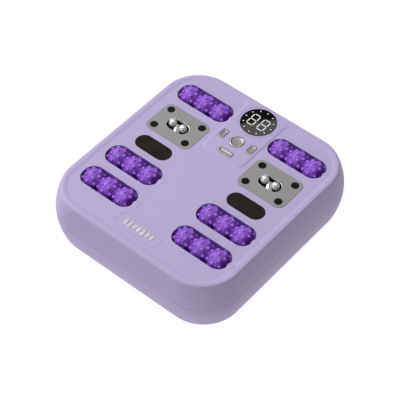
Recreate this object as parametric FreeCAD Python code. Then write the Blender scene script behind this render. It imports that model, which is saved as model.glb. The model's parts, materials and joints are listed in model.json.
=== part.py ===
import FreeCAD, Part
import math
import os

os.makedirs("parts", exist_ok=True)

# Electric foot massager. Millimetres, +Z up, +Y towards the toes and the display, +X to the user's right.
# The origin is on the floor under the middle of the body.

V = FreeCAD.Vector
X_AXIS = V(1, 0, 0)
Y_AXIS = V(0, 1, 0)
Z_AXIS = V(0, 0, 1)

# Body
BODY_WIDTH = 372.6
BODY_DEPTH = 400.5
CORNER_RADIUS = 72.0
CORNER_TIGHTENING = 0.35     # corner radius lost for each millimetre the wall moves in
BARREL = 0.0033              # how fast the wall curves in above and below the seam, per millimetre
WALL = 3.0
FOOT_HEIGHT = 3.0
SEAM_Z = 53.0
TREAD_Z = 103.0
RIM_Z = 104.3
TREAD_THICKNESS = 3.0
TREAD_UNDER_Z = TREAD_Z - TREAD_THICKNESS
RIM_FILLET = 5.0
BASE_FILLET = 3.5
SEAM_GROOVE = 0.25
LIP_THICKNESS = 1.6
LIP_REACH = 4.0
FLOOR_TOP_Z = FOOT_HEIGHT + WALL

# Tread recess inside the rim; its edge rises in a soft S from the tread to the rim
RECESS_WIDTH = 324.8
RECESS_DEPTH = 352.6
RECESS_RADIUS = 49.1
RECESS_SLOPE = 8.0
SLOPE_STEPS = 6

# Control panel, a raised tongue that joins the rear rim
PANEL_WIDTH = 88.2
PANEL_FRONT_Y = 48.7
PANEL_CORNER = 14.0
PANEL_SLOPE = 4.5
PANEL_ROOT_FILLET = 10.0
PANEL_SKIN = 3.2
PANEL_UNDER_Z = RIM_Z - PANEL_SKIN

# Display
DISPLAY_Y = 152.8
DISPLAY_RADIUS = 32.0
DISPLAY_THICKNESS = 1.8
DISPLAY_PROUD = 0.2
DISPLAY_EDGE_FILLET = 0.4
DISPLAY_RING_RADIUS = 36.0
RING_GROOVE_WIDTH = 0.7
RING_GROOVE_DEPTH = 0.5

# Buttons: name, x, y, width, depth, corner radius
BUTTON_SELECT_DIAMETER = 25.0
BUTTON_ROW_Y = 94.4
BUTTONS = (
    ("button_select", 0.0, BUTTON_ROW_Y, BUTTON_SELECT_DIAMETER, BUTTON_SELECT_DIAMETER, 12.5),
    ("button_start", 0.0, 63.8, 28.4, 11.4, 3.0),
    ("button_minus", -29.9, BUTTON_ROW_Y + 1.0, 12.0, 20.0, 3.0),
    ("button_plus", 29.9, BUTTON_ROW_Y + 1.0, 12.0, 20.0, 3.0),
)
BUTTON_GAP = 0.7
BUTTON_PROUD = 0.8
BUTTON_FLANGE = 1.5
BUTTON_FLANGE_THICKNESS = 1.4
BUTTON_FLANGE_DROP = 0.2
BUTTON_EDGE_FILLET = 0.8
BUTTON_STEM_RADIUS = 2.0
BUTTON_STEM_BOTTOM_Z = 94.6
DISH_SPHERE_RADIUS = 36.0
DISH_RADIUS = 9.5
DISH_MARGIN = 2.2
DISH_DEPTH = 0.9
DISH_CORNER = 2.0
DISH_FLOOR_FILLET = 0.8

# Roller stations
SIDES = (("left", -1), ("right", 1))
ROLLER_X = 99.5
ROLLER_Y = {"toe": 130.9, "mid": -55.6, "heel": -116.4}
WINDOW_LENGTH = 110.6
WINDOW_WIDTH = 43.4
WINDOW_RADIUS = 19.0
WINDOW_EDGE_FILLET = 0.8
ROLLER_AXIS_Z = 94.0
BALL_PITCH = 34.5
BALL_RADIUS = 19.2
ROLLER_HALF_LENGTH = 54.0
ROLLER_CORE_RADIUS = 13.0
ROLLER_HUB_RADIUS = 6.0
NUB_HEIGHT = 2.2
NUB_BASE_RADIUS = 3.4
NUB_TIP_RADIUS = 1.9
NUB_SINK = 0.8
NUB_ROWS = 12
NUB_PHASE_DEG = 87.0
NUB_ROW_TILTS_DEG = ((-40.0, 0.0, 40.0), (-22.5, 22.5))
LUG_RADIUS = 7.5
LUG_HEIGHT = 0.8
LUG_EDGE_SINK = 0.1
LUG_INTRUSION = 2.0
LUG_FLOOR_Z = 101.0

# Roller wells
WELL_GAP = 0.6
WELL_WALL = 2.0
WELL_FLOOR_Z = 69.8
WELL_BOSS = 1.5
WELL_BOSS_WIDTH = 16.0
WELL_BOSS_DEPTH = 14.0
EAR_RADIUS = 4.5
EAR_X = 38.0
EAR_OUT = 3.7
EAR_Z = (92.0, 95.0)
WELL_SCREW_RADIUS = 1.5
WELL_SCREW_HEAD = (2.8, 1.8)
WELL_SCREW_TOP_Z = 101.0

# Axles, bushes, pulleys and belts
AXLE_RADIUS = 3.0
BUSH_RADIUS = 5.0
RUNNING_CLEARANCE = 0.04
AXLE_END_PROUD = 1.6
PULLEY_RADIUS = 5.6
PULLEY_X = (159.4, 165.2)
PULLEY_FLANGE = 0.5
PULLEY_FLANGE_RIM = 0.6
BELT_X = (160.1, 164.5)
BELT_THICKNESS = 1.2
BELT_CHANNEL_X = (159.2, 166.0)
BELT_CHANNEL_Z = 101.2
BELT_CHANNEL_END = 10.0
BELT_GAP = 0.05
MOTOR_Y = 20.0
MOTOR_Z = 31.0
MOTOR_SHAFT_RADIUS = 3.0
MOTOR_SOCKET = 10.0
GEARBOX_X = (136.0, 155.0)
GEARBOX_SIZE = 40.0
MOTOR_CAN_RADIUS = 16.0
MOTOR_CAN_X = (82.0, 136.0)
MOTOR_CAP_RADIUS = 6.0
MOTOR_CAP_LENGTH = 4.0
SADDLE_X = (94.0, 124.0)
SADDLE_DEPTH = 40.0
SADDLE_HEIGHT = 16.0

# Acupressure plates
PLATE_X = 100.0
PLATE_Y = 58.3
PLATE_WIDTH = 96.2
PLATE_DEPTH = 69.3
PLATE_RADIUS = 13.2
PLATE_SEAT_Z = 101.2
PLATE_TOP_Z = 103.7
PLATE_GAP = 0.25
PLATE_EDGE_CHAMFER = 0.5
MAGNET_X = 34.4
MAGNET_Y = 22.4
MAGNET_RADIUS = 7.0
MAGNET_TOP_Z = 104.4
MAGNET_EDGE_FILLET = 0.5

# Ball window in each plate, a little nearer to the heels than the plate's middle
BALL_WINDOW = (43.0, 24.0)
BALL_WINDOW_Y = PLATE_Y - 0.7
TRIM_WIDTH = 1.0
TRIM_TOP_Z = 103.7
TRIM_FIT = 0.03
TRIM_FILLET = 0.6
TRIM_EDGE_MARGIN = 0.1
CUP_WALL = 1.5
CUP_FLOOR_Z = 90.0
CHROME_BALL_RADIUS = 7.2
CHROME_BALL_X = 11.0
CHROME_BALL_Z = 104.6
BALL_CLEARANCE = 0.3
PIN_RADIUS = 1.2
PIN_HALF_LENGTH = 17.6

# Yoke: sections as x from the plate's middle and z, at the window's near edge and beside the pin
YOKE_LOW_Z = 96.0
YOKE_EDGE_SECTION = ((0.0, 103.6), (5.5, 104.4), (10.5, 103.9), (14.0, 103.2))
YOKE_TIP_SECTION = ((-3.2, 105.2), (-1.2, 106.4), (1.6, 106.2), (3.2, 105.4))
YOKE_TIP_Y = PLATE_Y - 1.0
YOKE_HUB_RADIUS = 2.0
YOKE_HUB_HALF = 3.0
YOKE_POST_INSET = 4.0
YOKE_WALL_GAP = 0.1

# Infrared windows
LENS_X = 99.8
LENS_Y = -5.0
LENS_SIZE = (72.6, 31.8)
LENS_LEDGE = 2.5
LENS_SEAT_Z = 101.0
IR_BOARD_SIZE = (86.0, 24.0)
IR_BOARD_Z = (92.0, 93.6)
IR_POST_X = 40.0
IR_POST_RADIUS = 2.5
IR_LED_PITCH_X = 12.6
IR_LED_PITCH_Y = 14.0
IR_LED_RADIUS = 2.5
IR_LED_TOP_Z = 98.0

# Boards under the panel
SWITCH_BOARD = (62.0, 66.0, 82.0)
SWITCH_BOARD_Z = (89.6, 91.2)
SWITCH_SIZE = 6.0
SWITCH_TOP_Z = 93.3
PANEL_POST_RADIUS = 2.5
DISPLAY_BOARD_RADIUS = 34.8
DISPLAY_BOARD_Z = (94.4, 96.0)
DISPLAY_BLOCK = (46.0, 28.0)
DISPLAY_BLOCK_TOP_Z = 102.3
DISPLAY_HOLE_RADIUS = 29.5
DISPLAY_POST_ANGLES = (45, 135, 225, 315)
DISPLAY_POST_CIRCLE = 32.4
DISPLAY_POST_RADIUS = 2.0

# Main board and inlet
MAIN_BOARD = (54.0, 92.0)
MAIN_BOARD_Y = -70.0
MAIN_BOARD_Z = (14.0, 15.6)
# Parts on the main board: x range, y range from its middle, height
BOARD_BLOCKS = (
    ((-14.0, 14.0), (-10.0, 10.0), 4.0),
    ((-20.0, 20.0), (22.0, 31.0), 9.0),
    ((8.0, 20.0), (-34.0, -16.0), 14.0),
)
# Capacitors on the main board: x and y from its middle
CAPACITORS = ((-16.0, -34.0), (-8.0, -23.0), (-16.0, -12.0))
CAPACITOR_RADIUS = 5.0
CAPACITOR_HEIGHT = 16.0
SINK = 0.5
BOARD_SCREW_INSET = 5.0
BOARD_POST_RADIUS = 3.5
BOARD_SCREW_RADIUS = 1.4
BOARD_SCREW_HEAD = (2.6, 1.6)
BOARD_SCREW_LENGTH = 6.0
INLET_X = 0.0
INLET_Z = 26.0
INLET_BARREL_RADIUS = 5.5
INLET_BORE_RADIUS = 2.85
INLET_BORE_DEPTH = 9.5
INLET_PIN_RADIUS = 1.05
INLET_BODY = (14.0, 14.0, 14.0)
INLET_SETBACK = 3.0
INLET_RECESS = 0.8
INLET_GAP = 0.1
INLET_HOLE_LENGTH = 20.0

# Cover fasteners and feet
SCREW_POSTS = ((60.0, 181.0), (150.0, 165.0), (150.0, -165.0), (60.0, -181.0))
POST_SPLIT_Z = 40.0
POST_RADIUS = 5.0
TOWER_RADIUS = 7.0
COUNTERBORE_RADIUS = 4.5
TOWER_CAP = 3.0
COVER_SCREW_RADIUS = 2.0
COVER_SCREW_HEAD = (3.8, 2.6)
COVER_SCREW_TOP_Z = 56.0
SCREW_CLEARANCE = 0.04
SCREW_TIP_ROOM = 0.3
SCREW_HOLE_CLEARANCE = 0.2
FOOT_X = 128.0
FOOT_Y = 142.0
FOOT_RADIUS = 12.0
FOOT_RECESS = 1.0
FOOT_CHAMFER = 0.8

# Emblem at the heel end
EMBLEM_Y = -154.0
EMBLEM_PANEL = (89.0, 29.0, 8.0)
EMBLEM_GROOVE_WIDTH = 0.8
EMBLEM_GROOVE_DEPTH = 0.35
EMBLEM_BARS = (12.0, 14.0, 10.0, 10.0, 14.0, 10.0, 9.0)
EMBLEM_PITCH = 9.0
EMBLEM_BAR_WIDTH = 5.2
EMBLEM_SINK = 0.8
EMBLEM_PROUD = 0.8


def rounded_rect(width, depth, radius, z, x=0.0, y=0.0):
    """Closed wire of a rectangle with round corners in the plane at height z."""
    a = width / 2
    b = depth / 2
    r = min(radius, a, b)
    k = r * (1 - math.sqrt(0.5))
    corners = (
        ((a, b - r), (a - k, b - k), (a - r, b)),
        ((r - a, b), (k - a, b - k), (-a, b - r)),
        ((-a, r - b), (k - a, k - b), (r - a, -b)),
        ((a - r, -b), (a - k, k - b), (a, r - b)),
    )
    edges = []
    for index, corner in enumerate(corners):
        start, middle, end = (V(x + p[0], y + p[1], z) for p in corner)
        following = corners[(index + 1) % 4][0]
        nxt = V(x + following[0], y + following[1], z)
        edges.append(Part.Arc(start, middle, end).toShape())
        if end.distanceToPoint(nxt) > 1e-6:
            edges.append(Part.LineSegment(end, nxt).toShape())
    return Part.Wire(edges)


def slab(width, depth, radius, z_range, x=0.0, y=0.0):
    """Upright prism with a rounded rectangle as its outline."""
    low, high = z_range
    face = Part.Face(rounded_rect(width, depth, radius, low, x, y))
    return face.extrude(V(0, 0, high - low))


def stadium(size, z_range, x=0.0, y=0.0, grow=0.0):
    """Upright prism with two half-round ends; size is length and width."""
    length = size[0] + 2 * grow
    width = size[1] + 2 * grow
    return slab(length, width, width / 2 - 0.01, z_range, x, y)


def disc(radius, z_range, x=0.0, y=0.0):
    low, high = z_range
    return Part.makeCylinder(radius, high - low, V(x, y, low), Z_AXIS)


def rod_x(radius, x_range, y, z):
    low, high = sorted(x_range)
    return Part.makeCylinder(radius, high - low, V(low, y, z), X_AXIS)


def block(x_range, y_range, z_range):
    x0, x1 = sorted(x_range)
    y0, y1 = sorted(y_range)
    z0, z1 = sorted(z_range)
    return Part.makeBox(x1 - x0, y1 - y0, z1 - z0, V(x0, y0, z0))


def fuse(shapes):
    return shapes[0].multiFuse(list(shapes[1:])).removeSplitter()


def cut_all(shape, tools):
    return shape.cut(list(tools))


def edges_where(shape, test):
    """Edges whose every vertex and middle point pass the test."""
    chosen = []
    for edge in shape.Edges:
        middle = edge.valueAt((edge.FirstParameter + edge.LastParameter) / 2)
        points = [vertex.Point for vertex in edge.Vertexes] + [middle]
        if all(test(point) for point in points):
            chosen.append(edge)
    return chosen


def at_height(shape, z, also=lambda point: True):
    return edges_where(shape, lambda point: abs(point.z - z) < 1e-4 and also(point))


def save(name, shape):
    shape.exportStep(os.path.join("parts", name + ".step"))


def wall_section(z, inset=0.0):
    """Outline of the barrelled body wall at height z, moved in by inset."""
    barrel = BARREL * (z - SEAM_Z) ** 2
    radius = CORNER_RADIUS - CORNER_TIGHTENING * barrel - inset
    shrink = 2 * (barrel + inset)
    return rounded_rect(BODY_WIDTH - shrink, BODY_DEPTH - shrink, radius, z)


def wall_loft(z_from, z_to, inset=0.0, steps=5):
    heights = [z_from + (z_to - z_from) * i / steps for i in range(steps + 1)]
    return Part.makeLoft([wall_section(z, inset) for z in heights], True, False)


def seam_groove():
    reach = 2 * WALL
    outer = slab(BODY_WIDTH + reach, BODY_DEPTH + reach, CORNER_RADIUS + WALL,
                 (SEAM_Z - SEAM_GROOVE, SEAM_Z + SEAM_GROOVE))
    inner = slab(BODY_WIDTH - 2 * SEAM_GROOVE, BODY_DEPTH - 2 * SEAM_GROOVE, CORNER_RADIUS - SEAM_GROOVE,
                 (SEAM_Z - WALL, SEAM_Z + WALL))
    return outer.cut(inner)


def recess_outline(z, grow, shrink):
    """Outline of the recess at height z: the tread less the panel's tongue.

    The tread's edge is moved out by grow and the tongue's edge is moved in by shrink.
    """
    a = RECESS_WIDTH / 2 + grow
    b = RECESS_DEPTH / 2 + grow
    r = RECESS_RADIUS + grow
    c = PANEL_WIDTH / 2 - shrink
    front = PANEL_FRONT_Y + shrink
    q = PANEL_CORNER - shrink
    root = PANEL_ROOT_FILLET
    # Arcs in order round the outline: centre, radius, first and last angle
    arcs = (
        (a - r, b - r, r, 0, 90),
        (c + root, b - root, root, 90, 180),
        (c - q, front + q, q, 0, -90),
        (q - c, front + q, q, -90, -180),
        (-c - root, b - root, root, 0, 90),
        (r - a, b - r, r, 90, 180),
        (r - a, r - b, r, 180, 270),
        (a - r, r - b, r, 270, 360),
    )
    corners = []
    for x, y, radius, first, last in arcs:
        turns = (math.radians(angle) for angle in (first, (first + last) / 2, last))
        corners.append([V(x + radius * math.cos(turn), y + radius * math.sin(turn), z) for turn in turns])
    edges = []
    for index, (start, middle, end) in enumerate(corners):
        edges.append(Part.Arc(start, middle, end).toShape())
        edges.append(Part.LineSegment(end, corners[(index + 1) % len(corners)][0]).toShape())
    return Part.Wire(edges)


def recess_tool():
    """The space above the tread, inside the rim's soft slope and round the panel's tongue."""
    sections = []
    for step in range(SLOPE_STEPS + 1):
        share = step / SLOPE_STEPS
        rise = share * share * (3 - 2 * share)
        z = TREAD_Z + (RIM_Z - TREAD_Z) * rise
        sections.append(recess_outline(z, RECESS_SLOPE * share, PANEL_SLOPE * share))
    sections.append(recess_outline(RIM_Z + 1, RECESS_SLOPE, PANEL_SLOPE))
    return Part.makeLoft(sections, True, True)


def stations():
    """Every roller station as name, side name, side sign, row, x and y."""
    for side_name, side in SIDES:
        for row, y in ROLLER_Y.items():
            yield "%s_%s" % (row, side_name), side_name, side, row, side * ROLLER_X, y


def ear_places(side, rows):
    """Screw ears of one well, which spans the given rows."""
    ys = [ROLLER_Y[row] for row in rows]
    half = WINDOW_WIDTH / 2 + WELL_GAP + WELL_WALL + EAR_OUT
    for dx in (-EAR_X, EAR_X):
        yield side * ROLLER_X + dx, min(ys) - half
        yield side * ROLLER_X + dx, max(ys) + half


WELLS = (("toe", ("toe",)), ("heel", ("mid", "heel")))


def all_ears():
    for _, side in SIDES:
        for _, rows in WELLS:
            yield from ear_places(side, rows)


def cover_posts():
    for x, y in SCREW_POSTS:
        yield x, y
        yield -x, y


def make_top_shell():
    shell = wall_loft(SEAM_Z, RIM_Z)
    shell = shell.makeFillet(RIM_FILLET, at_height(shell, RIM_Z))
    shell = shell.cut(wall_loft(SEAM_Z - 0.01, TREAD_UNDER_Z, WALL))
    shell = shell.cut(recess_tool())
    cuts = [seam_groove()]
    adds = []
    hollow_depth = DISPLAY_Y + DISPLAY_RING_RADIUS - PANEL_FRONT_Y - 2 * WALL
    hollow = slab(PANEL_WIDTH - 2 * WALL, hollow_depth, PANEL_CORNER - WALL,
                  (TREAD_UNDER_Z - 1, PANEL_UNDER_Z), 0.0, PANEL_FRONT_Y + WALL + hollow_depth / 2)
    shell = shell.cut(hollow)
    channel_y = (ROLLER_Y["heel"] - BELT_CHANNEL_END, ROLLER_Y["toe"] + BELT_CHANNEL_END)
    for _, side in SIDES:
        channel_x = (side * x for x in BELT_CHANNEL_X)
        shell = shell.cut(block(channel_x, channel_y, (ROLLER_AXIS_Z, BELT_CHANNEL_Z)))
    # Display seat, its hole and the ring line round it
    cuts.append(disc(DISPLAY_RADIUS + 0.05, (RIM_Z - DISPLAY_THICKNESS, RIM_Z + 1), 0.0, DISPLAY_Y))
    cuts.append(disc(DISPLAY_HOLE_RADIUS, (TREAD_UNDER_Z - 1, RIM_Z), 0.0, DISPLAY_Y))
    ring_z = (RIM_Z - RING_GROOVE_DEPTH, RIM_Z + 1)
    ring = disc(DISPLAY_RING_RADIUS + RING_GROOVE_WIDTH / 2, ring_z, 0.0, DISPLAY_Y)
    cuts.append(ring.cut(disc(DISPLAY_RING_RADIUS - RING_GROOVE_WIDTH / 2, ring_z, 0.0, DISPLAY_Y)))
    for _, x, y, width, depth, radius in BUTTONS:
        grow = 2 * BUTTON_GAP
        cuts.append(slab(width + grow, depth + grow, radius + BUTTON_GAP, (TREAD_UNDER_Z, RIM_Z + 1), x, y))
    for _, side in SIDES:
        cuts.append(slab(PLATE_WIDTH + 2 * PLATE_GAP, PLATE_DEPTH + 2 * PLATE_GAP, PLATE_RADIUS + PLATE_GAP,
                         (PLATE_SEAT_Z, RIM_Z), side * PLATE_X, PLATE_Y))
        cuts.append(stadium(BALL_WINDOW, (TREAD_UNDER_Z - 1, TREAD_Z), side * PLATE_X, BALL_WINDOW_Y,
                            TRIM_WIDTH + CUP_WALL + 0.2))
        cuts.append(stadium(LENS_SIZE, (LENS_SEAT_Z, RIM_Z), side * LENS_X, LENS_Y, 0.15))
        cuts.append(stadium(LENS_SIZE, (TREAD_UNDER_Z - 1, RIM_Z), side * LENS_X, LENS_Y, -LENS_LEDGE))
        for dx in (-IR_POST_X, IR_POST_X):
            post_z = (IR_BOARD_Z[1], TREAD_UNDER_Z + SINK)
            adds.append(disc(IR_POST_RADIUS, post_z, side * LENS_X + dx, LENS_Y))
    # Emblem outline and the seats of its bars
    groove_z = (TREAD_Z - EMBLEM_GROOVE_DEPTH, TREAD_Z + 1)
    width, depth, radius = EMBLEM_PANEL
    line = EMBLEM_GROOVE_WIDTH
    outline = slab(width, depth, radius, groove_z, 0.0, EMBLEM_Y)
    cuts.append(outline.cut(slab(width - 2 * line, depth - 2 * line, radius - line, groove_z, 0.0, EMBLEM_Y)))
    for bar in emblem_bars(0.03, TREAD_Z + 1):
        cuts.append(bar)
    for x, y in all_ears():
        adds.append(disc(EAR_RADIUS - 1, (EAR_Z[1], TREAD_UNDER_Z + SINK), x, y))
        cuts.append(disc(WELL_SCREW_RADIUS + SCREW_CLEARANCE,
                         (EAR_Z[1] - 1, WELL_SCREW_TOP_Z + SCREW_TIP_ROOM), x, y))
    for x, y in cover_posts():
        adds.append(disc(POST_RADIUS, (POST_SPLIT_Z, TREAD_UNDER_Z + SINK), x, y))
        cuts.append(disc(COVER_SCREW_RADIUS + SCREW_CLEARANCE,
                         (POST_SPLIT_Z - 1, COVER_SCREW_TOP_Z + SCREW_TIP_ROOM), x, y))
    for x, y in switch_board_corners():
        adds.append(disc(PANEL_POST_RADIUS, (SWITCH_BOARD_Z[1], PANEL_UNDER_Z + SINK), x, y))
    for x, y in display_posts():
        adds.append(disc(DISPLAY_POST_RADIUS, (DISPLAY_BOARD_Z[1], PANEL_UNDER_Z + SINK), x, y))
    lip_z = (SEAM_Z - LIP_REACH, SEAM_Z + LIP_REACH)
    gap = WALL + 0.2
    lip = slab(BODY_WIDTH - 2 * gap, BODY_DEPTH - 2 * gap, CORNER_RADIUS - gap, lip_z)
    gap += LIP_THICKNESS
    adds.append(lip.cut(slab(BODY_WIDTH - 2 * gap, BODY_DEPTH - 2 * gap, CORNER_RADIUS - gap, lip_z)))
    # A band ties the lip to the wall above the seam
    band_z = (SEAM_Z + 1, SEAM_Z + LIP_REACH)
    tie = wall_loft(band_z[0], band_z[1], WALL - 0.5, 1)
    adds.append(tie.cut(slab(BODY_WIDTH - 2 * gap, BODY_DEPTH - 2 * gap, CORNER_RADIUS - gap, lip_z)))
    shell = fuse([shell] + adds)
    shell = cut_all(shell, cuts)
    for _, _, _, _, x, y in stations():
        shell = shell.cut(slab(WINDOW_LENGTH, WINDOW_WIDTH, WINDOW_RADIUS, (TREAD_UNDER_Z - 1, RIM_Z), x, y))
    rims = []
    for _, _, _, _, x, y in stations():
        rims += at_height(shell, TREAD_Z, lambda p: abs(p.x - x) < WINDOW_LENGTH / 2 + 0.1
                          and abs(p.y - y) < WINDOW_WIDTH / 2 + 0.1)
    shell = shell.makeFillet(WINDOW_EDGE_FILLET, rims)
    return fuse([shell] + [lug(x, y) for _, _, _, _, x, y in stations()])


def lug(x, y):
    """Low domed cap over the outer axle end, at the +X end of a roller window."""
    centre_x = x + WINDOW_LENGTH / 2 - LUG_INTRUSION + LUG_RADIUS
    top = TREAD_Z + LUG_HEIGHT
    fall = LUG_HEIGHT + LUG_EDGE_SINK
    dome_radius = (LUG_RADIUS ** 2 + fall ** 2) / (2 * fall)
    cap = disc(LUG_RADIUS, (LUG_FLOOR_Z, top), centre_x, y)
    return cap.common(Part.makeSphere(dome_radius, V(centre_x, y, top - dome_radius)))


def switch_board_corners():
    width, depth, y = SWITCH_BOARD
    for dx in (-1, 1):
        for dy in (-1, 1):
            yield dx * (width / 2 - 4), y + dy * (depth / 2 - 4)


def display_posts():
    for angle in DISPLAY_POST_ANGLES:
        around = math.radians(angle)
        yield DISPLAY_POST_CIRCLE * math.cos(around), DISPLAY_Y + DISPLAY_POST_CIRCLE * math.sin(around)


def emblem_bars(grow, top_z):
    middle = (len(EMBLEM_BARS) - 1) / 2
    for index, height in enumerate(EMBLEM_BARS):
        x = (index - middle) * EMBLEM_PITCH
        width = EMBLEM_BAR_WIDTH + 2 * grow
        yield slab(width, height + 2 * grow, width / 2 - 0.01, (TREAD_Z - EMBLEM_SINK, top_z), x, EMBLEM_Y)


def make_bottom_cover():
    cover = wall_loft(FOOT_HEIGHT, SEAM_Z)
    cover = cover.makeFillet(BASE_FILLET, at_height(cover, FOOT_HEIGHT))
    cover = cover.cut(wall_loft(FLOOR_TOP_Z, SEAM_Z + 0.01, WALL))
    adds = []
    cuts = [seam_groove()]
    for x, y in cover_posts():
        adds.append(disc(TOWER_RADIUS, (FOOT_HEIGHT + 1, POST_SPLIT_Z), x, y))
        cuts.append(disc(COUNTERBORE_RADIUS, (FOOT_HEIGHT - 1, POST_SPLIT_Z - TOWER_CAP), x, y))
        cuts.append(disc(COVER_SCREW_RADIUS + SCREW_HOLE_CLEARANCE, (FOOT_HEIGHT, POST_SPLIT_Z + 1), x, y))
    for x, y in foot_places():
        cuts.append(disc(FOOT_RADIUS + 0.05, (FOOT_HEIGHT - 1, FOOT_HEIGHT + FOOT_RECESS), x, y))
    for x, y in board_screw_places():
        adds.append(disc(BOARD_POST_RADIUS, (FLOOR_TOP_Z - 1, MAIN_BOARD_Z[0]), x, y))
        cuts.append(disc(BOARD_SCREW_RADIUS + SCREW_CLEARANCE,
                         (MAIN_BOARD_Z[1] - BOARD_SCREW_LENGTH - SCREW_TIP_ROOM, MAIN_BOARD_Z[0] + 1), x, y))
    for _, side in SIDES:
        x0, x1 = (side * x for x in SADDLE_X)
        saddle = block((x0, x1), (MOTOR_Y - SADDLE_DEPTH / 2, MOTOR_Y + SADDLE_DEPTH / 2),
                       (FLOOR_TOP_Z - 1, FLOOR_TOP_Z + SADDLE_HEIGHT))
        adds.append(saddle.cut(rod_x(MOTOR_CAN_RADIUS, (x0, x1), MOTOR_Y, MOTOR_Z)))
        g0, g1 = (side * x for x in GEARBOX_X)
        adds.append(block((g0, g1), (MOTOR_Y - GEARBOX_SIZE / 2, MOTOR_Y + GEARBOX_SIZE / 2),
                          (FLOOR_TOP_Z - 1, MOTOR_Z - GEARBOX_SIZE / 2)))
    rear_y = BODY_DEPTH / 2
    cuts.append(Part.makeCylinder(INLET_BARREL_RADIUS + INLET_GAP, INLET_HOLE_LENGTH,
                                  V(INLET_X, rear_y + WALL - INLET_HOLE_LENGTH, INLET_Z), Y_AXIS))
    width, depth, height = INLET_BODY
    shelf_y = inlet_body_front()
    adds.append(block((INLET_X - width / 2, INLET_X + width / 2), (shelf_y - depth, shelf_y),
                      (FLOOR_TOP_Z - 1, INLET_Z - height / 2)))
    return cut_all(fuse([cover] + adds), cuts)


def foot_places():
    for x in (-FOOT_X, FOOT_X):
        for y in (-FOOT_Y, FOOT_Y):
            yield x, y


def make_rubber_feet():
    feet = []
    for x, y in foot_places():
        foot = disc(FOOT_RADIUS, (0, FOOT_HEIGHT + FOOT_RECESS), x, y)
        feet.append(foot.makeChamfer(FOOT_CHAMFER, at_height(foot, 0)))
    return Part.makeCompound(feet)


def screw(x, y, head, radius, head_z, tip_z):
    """Screw that points up from its head; head is radius and height, head_z the plane under the head."""
    head_radius, head_height = head
    cap = disc(head_radius, (head_z - head_height, head_z), x, y)
    slot = disc(head_radius * 0.45, (head_z - head_height, head_z - head_height * 0.5), x, y)
    return cap.cut(slot).fuse(disc(radius, (head_z, tip_z), x, y)).removeSplitter()


def make_cover_screws():
    seat = POST_SPLIT_Z - TOWER_CAP
    return Part.makeCompound([
        screw(x, y, COVER_SCREW_HEAD, COVER_SCREW_RADIUS, seat, COVER_SCREW_TOP_Z) for x, y in cover_posts()])


def make_well_screws():
    return Part.makeCompound([
        screw(x, y, WELL_SCREW_HEAD, WELL_SCREW_RADIUS, EAR_Z[0], WELL_SCREW_TOP_Z) for x, y in all_ears()])


def make_well(side, rows):
    ys = [ROLLER_Y[row] for row in rows]
    x = side * ROLLER_X
    middle = (min(ys) + max(ys)) / 2
    span = max(ys) - min(ys)
    grow = 2 * WELL_GAP
    outer_grow = grow + 2 * WELL_WALL
    tub = slab(WINDOW_LENGTH + outer_grow, WINDOW_WIDTH + span + outer_grow,
               WINDOW_RADIUS + WELL_GAP + WELL_WALL, (WELL_FLOOR_Z, TREAD_UNDER_Z), x, middle)
    ears = [disc(EAR_RADIUS, EAR_Z, ex, ey) for ex, ey in ear_places(side, rows)]
    end = WINDOW_LENGTH / 2 + WELL_GAP
    bosses = []
    for y in ys:
        for sign in (-1, 1):
            bosses.append(block((x + sign * end, x + sign * (end + WELL_WALL + WELL_BOSS)),
                                (y - WELL_BOSS_WIDTH / 2, y + WELL_BOSS_WIDTH / 2),
                                (TREAD_UNDER_Z - WELL_BOSS_DEPTH, TREAD_UNDER_Z)))
    tub = fuse([tub] + ears + bosses)
    tools = []
    for y in ys:
        tools.append(slab(WINDOW_LENGTH + grow, WINDOW_WIDTH + grow, WINDOW_RADIUS + WELL_GAP,
                          (WELL_FLOOR_Z + WELL_WALL, TREAD_UNDER_Z + 1), x, y))
        tools.append(rod_x(BUSH_RADIUS, (x - end - 10, x + end + 10), y, ROLLER_AXIS_Z))
    for ex, ey in ear_places(side, rows):
        tools.append(disc(WELL_SCREW_RADIUS + SCREW_HOLE_CLEARANCE, (EAR_Z[0] - 1, EAR_Z[1] + 1), ex, ey))
    return cut_all(tub, tools)


def nub(tilt_deg, angle_deg):
    """One cone-shaped nub that stands on a ball's surface, tilted along the axle and turned round it."""
    around = math.radians(angle_deg)
    tilt = math.radians(tilt_deg)
    outward = V(math.sin(tilt), math.cos(tilt) * math.cos(around), math.cos(tilt) * math.sin(around))
    base = outward * (BALL_RADIUS - NUB_SINK)
    return Part.makeCone(NUB_BASE_RADIUS, NUB_TIP_RADIUS, NUB_HEIGHT + NUB_SINK, base, outward)


def make_roller_shape():
    """Roller at the origin, its axle along X: three knobbly balls on a core, cut flat at both ends."""
    pieces = []
    for index in (-1, 0, 1):
        ball = Part.makeSphere(BALL_RADIUS)
        nubs = []
        for row in range(NUB_ROWS):
            angle = NUB_PHASE_DEG + 360.0 * row / NUB_ROWS
            nubs += [nub(tilt, angle) for tilt in NUB_ROW_TILTS_DEG[row % 2]]
        ball = ball.multiFuse(nubs)
        ball.translate(V(index * BALL_PITCH, 0, 0))
        pieces.append(ball)
    core = rod_x(ROLLER_CORE_RADIUS, (-BALL_PITCH, BALL_PITCH), 0, 0)
    hub = rod_x(ROLLER_HUB_RADIUS, (-ROLLER_HALF_LENGTH, ROLLER_HALF_LENGTH), 0, 0)
    body = core.multiFuse(pieces + [hub])
    return body.cut(rod_x(AXLE_RADIUS, (-WINDOW_LENGTH, WINDOW_LENGTH), 0, 0))


def make_axle(side, x, y):
    end = WINDOW_LENGTH / 2 + WELL_GAP + WELL_WALL + WELL_BOSS
    outer = side * (PULLEY_X[1] + AXLE_END_PROUD)
    return rod_x(AXLE_RADIUS, (x - side * (end + AXLE_END_PROUD), outer), y, ROLLER_AXIS_Z)


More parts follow.
